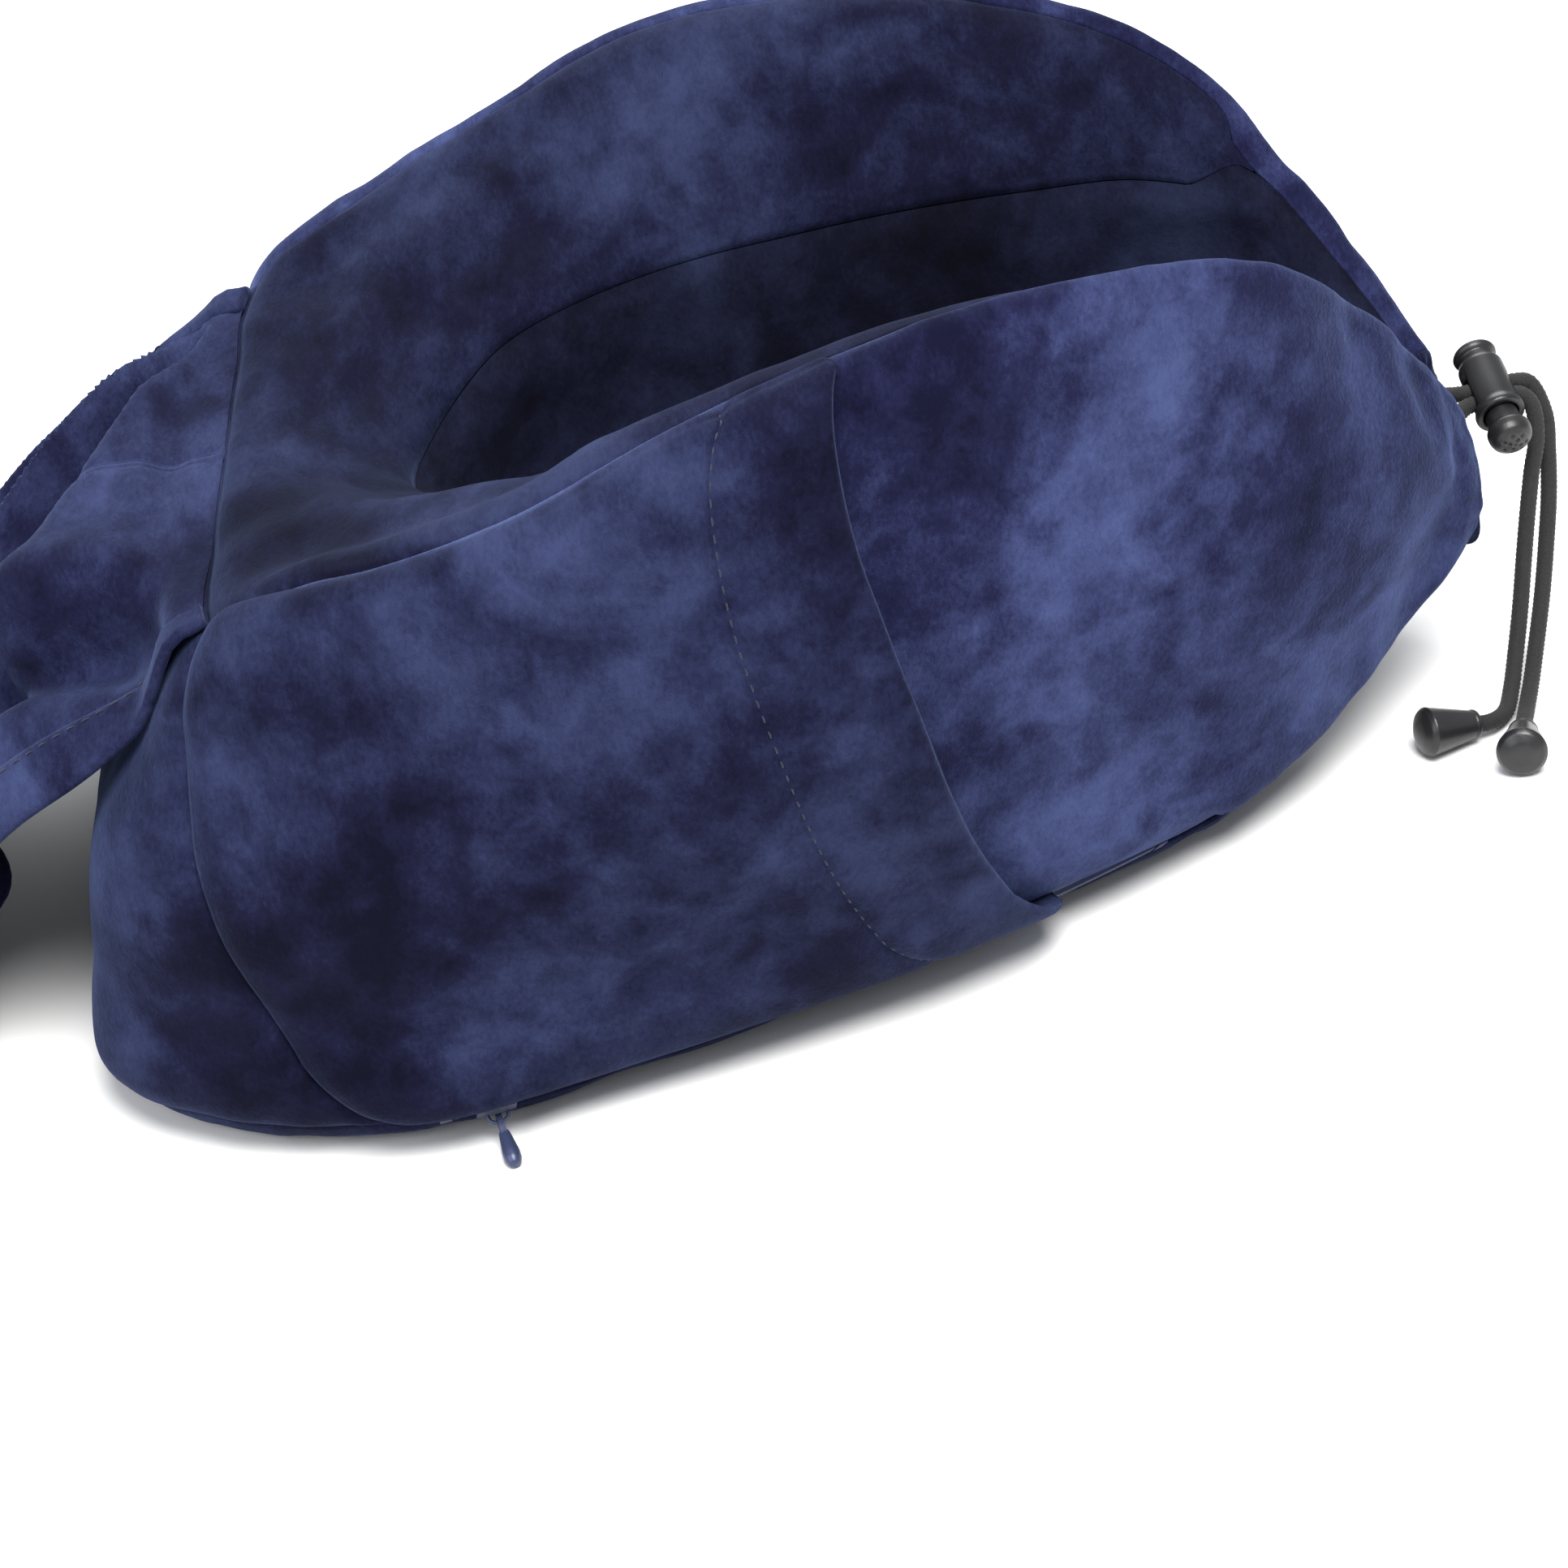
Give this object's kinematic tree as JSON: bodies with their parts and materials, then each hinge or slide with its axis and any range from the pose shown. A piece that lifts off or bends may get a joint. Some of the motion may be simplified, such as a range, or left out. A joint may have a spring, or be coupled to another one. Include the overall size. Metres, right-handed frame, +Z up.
{
  "type": "travel neck pillow",
  "caption": "U-shaped foam travel pillow in a zipped velour cover, with a thrown-back hood, an open side pocket and a corded chin closure with a sprung cord lock.",
  "frame": {"origin": "on the floor, under the centre of the box round the pillow and its hood, without the cords and their lock", "axes": "+X from the back of the neck towards the open end and the wearer's face, +Y to the wearer's left, +Z up"},
  "size_m": [0.4289, 0.2854, 0.1403],
  "materials": {
    "velour": "brushed short pile, matt with a soft sheen",
    "foam": "open-cell foam, matt",
    "zip_tape": "woven, matt",
    "zip_coil": "satin",
    "enamel": "satin enamel",
    "black_plastic": "fine satin",
    "spring_steel": "bright wire",
    "cord": "round braid, matt"
  },
  "bodies": {
    "pillow": {"foam_core": "foam", "cover_top_panel": "velour", "cover_neck_panel": "velour", "cover_bottom_panel": "velour", "cover_back_panel": "velour", "cover_side_panel_left": "velour", "cover_side_panel_right": "velour", "pocket_panel": "velour", "pocket_hem": "velour", "zip_coil": "zip_coil", "zip_tape_upper": "zip_tape", "zip_tape_lower": "zip_tape", "zip_stop_rear": "enamel", "zip_stop_front": "enamel", "tip_cap_left": "velour", "tip_cap_right": "velour", "tip_eyelet_left": "black_plastic", "tip_eyelet_right": "black_plastic", "lock_barrel": "black_plastic", "lock_spring": "spring_steel", "cord_left": "cord", "cord_right": "cord", "cord_bell_left": "black_plastic", "cord_bell_right": "black_plastic"},
    "hood": {"hood_left": "velour", "hood_right": "velour", "hood_hem": "velour"},
    "zip_runner": {"zip_slider": "enamel", "zip_bail": "enamel"},
    "zip_pull": {"zip_puller": "enamel"},
    "lock_button": {"lock_plunger": "black_plastic"}
  },
  "joints": [
    {"name": "hood_flip", "type": "hinge", "parent": "pillow", "child": "hood", "pos_m": [-0.0635, 0, 0.0958], "axis": [0, 1, 0], "range_deg": [0, 100]},
    {"name": "zip_run", "type": "hinge", "parent": "pillow", "child": "zip_runner", "pos_m": [-0.1214, 0.3335, 0], "axis": [0, 0, 1], "range_deg": [0, 17]},
    {"name": "zip_puller_swing", "type": "hinge", "parent": "zip_runner", "child": "zip_pull", "pos_m": [-0.01734, -0.13658, 0.00443], "axis": [-0.9764, -0.2161, 0], "range_deg": [0, 58]},
    {"name": "lock_press", "type": "slide", "parent": "pillow", "child": "lock_button", "axis": [-0.1001, 0.9109, 0.4004], "range_m": [0, 0.0025], "stiffness_N_per_m": 1500, "springref_m": -0.002, "deforming": ["lock_spring"]}
  ]
}
